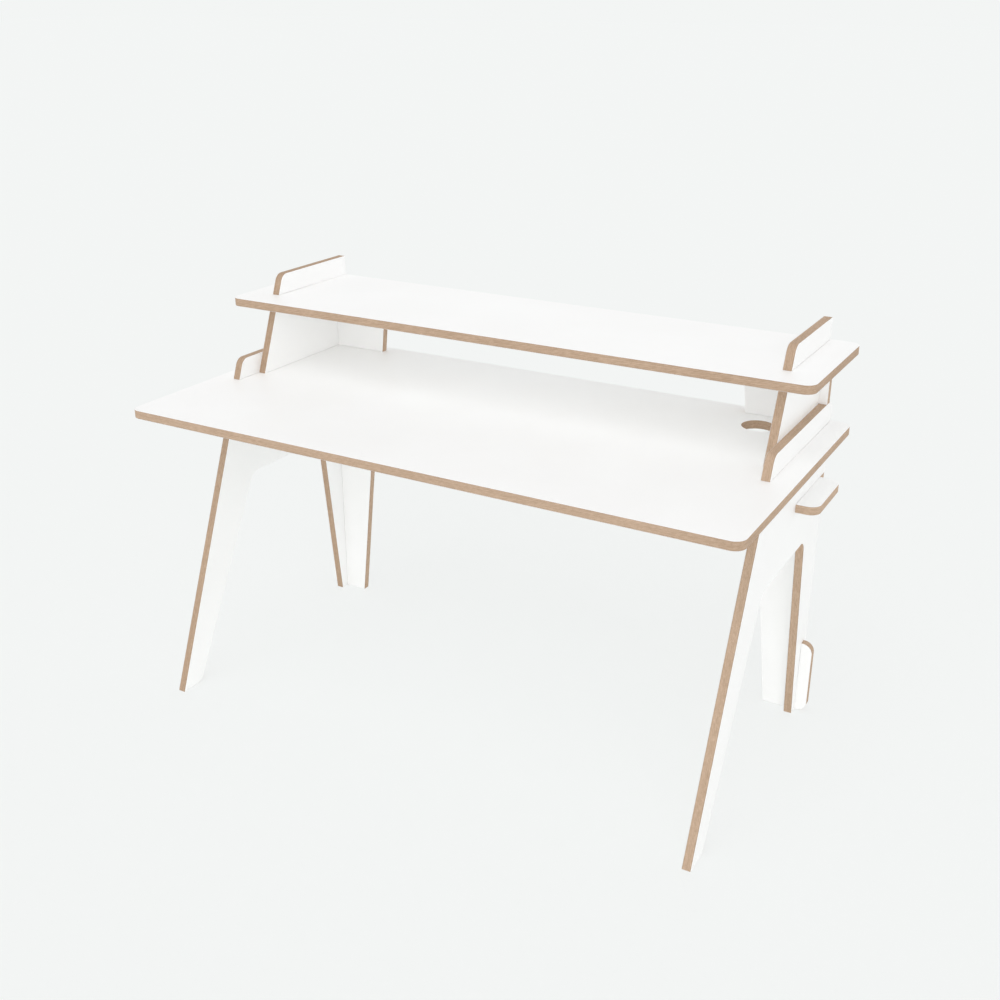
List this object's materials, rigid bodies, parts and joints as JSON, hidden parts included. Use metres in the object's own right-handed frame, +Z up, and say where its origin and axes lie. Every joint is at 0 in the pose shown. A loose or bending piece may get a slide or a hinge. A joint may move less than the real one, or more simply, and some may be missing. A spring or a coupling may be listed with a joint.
{
  "type": "desk with riser",
  "caption": "Flat-pack desk of slotted white-faced plywood boards, with leaning side frames, a cable shelf and a full-width riser shelf for monitors or gear.",
  "frame": {"origin": "on the floor, under the middle of the desktop", "axes": "+X along the desk to the end with the cable hole, +Y from the sitter's side to the back, +Z up"},
  "size_m": [1.5, 0.74, 0.99],
  "materials": {
    "plywood_core": "sanded and oiled edge, satin",
    "white_laminate": "smooth satin laminate"
  },
  "bodies": {
    "desk": {"desktop_core": "plywood_core", "desktop_top_laminate": "white_laminate", "desktop_underside_laminate": "white_laminate", "left_side_frame_core": "plywood_core", "left_side_frame_outer_laminate": "white_laminate", "left_side_frame_inner_laminate": "white_laminate", "right_side_frame_core": "plywood_core", "right_side_frame_outer_laminate": "white_laminate", "right_side_frame_inner_laminate": "white_laminate", "left_rear_leg_core": "plywood_core", "left_rear_leg_front_laminate": "white_laminate", "left_rear_leg_back_laminate": "white_laminate", "right_rear_leg_core": "plywood_core", "right_rear_leg_front_laminate": "white_laminate", "right_rear_leg_back_laminate": "white_laminate", "cable_shelf_core": "plywood_core", "cable_shelf_top_laminate": "white_laminate", "cable_shelf_underside_laminate": "white_laminate"},
    "riser": {"left_riser_side_core": "plywood_core", "left_riser_side_outer_laminate": "white_laminate", "left_riser_side_inner_laminate": "white_laminate", "right_riser_side_core": "plywood_core", "right_riser_side_outer_laminate": "white_laminate", "right_riser_side_inner_laminate": "white_laminate", "left_riser_brace_core": "plywood_core", "left_riser_brace_front_laminate": "white_laminate", "left_riser_brace_back_laminate": "white_laminate", "right_riser_brace_core": "plywood_core", "right_riser_brace_front_laminate": "white_laminate", "right_riser_brace_back_laminate": "white_laminate", "riser_shelf_core": "plywood_core", "riser_shelf_top_laminate": "white_laminate", "riser_shelf_underside_laminate": "white_laminate"}
  },
  "joints": [
    {"name": "riser_lift", "type": "slide", "parent": "desk", "child": "riser", "axis": [0, 0, 1], "range_m": [0, 0.15]}
  ]
}
